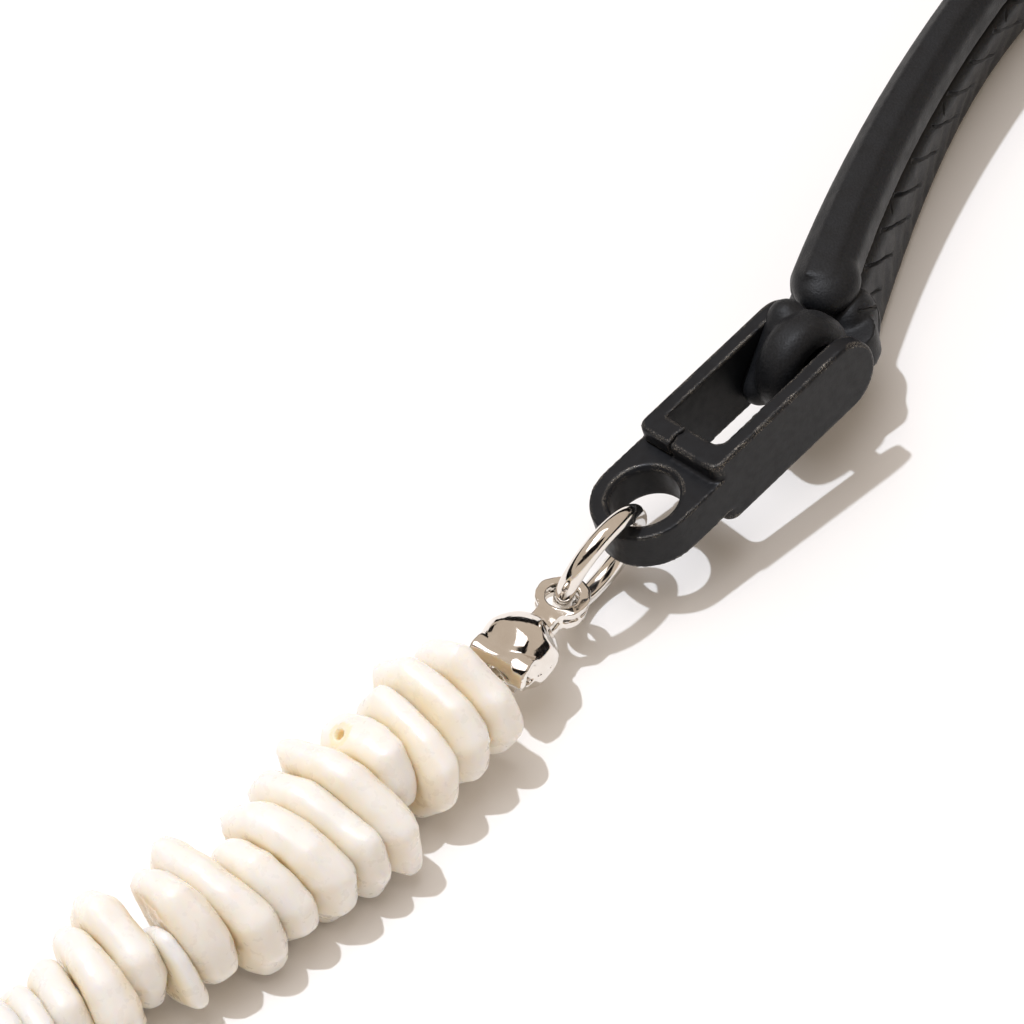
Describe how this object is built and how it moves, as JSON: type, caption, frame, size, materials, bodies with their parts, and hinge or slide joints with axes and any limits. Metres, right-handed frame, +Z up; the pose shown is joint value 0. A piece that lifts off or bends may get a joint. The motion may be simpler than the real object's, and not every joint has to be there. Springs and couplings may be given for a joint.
{
  "type": "puka shell necklace",
  "caption": "Closed loop of drilled ivory shell chips on a thread, joined by clamshell tips, jump rings and black slotted links to a curved black moulded arm.",
  "frame": {"origin": "middle of the necklace's box, on the surface that it lies on", "axes": "+Z up out of the surface, +Y towards the arm's side of the loop, +X to the right of the picture"},
  "size_m": [0.1538, 0.1618, 0.0096],
  "materials": {
    "shell": "polished ivory shell",
    "thread": "twisted white cord",
    "nickel": "bright nickel plate",
    "black_metal": "satin black, rubbed at the edges",
    "black_rubber": "matte moulded"
  },
  "bodies": {
    "root": {"shells_left": "shell", "shells_right": "shell", "thread": "thread", "bead_tip_near": "nickel", "bead_tip_far": "nickel", "jump_ring_near": "nickel", "jump_ring_far": "nickel", "link_body": "black_metal", "link_cheek": "black_metal", "link_pin": "black_metal", "link_rear": "black_metal", "arm_core": "black_rubber", "arm_pad": "black_rubber"}
  },
  "joints": []
}
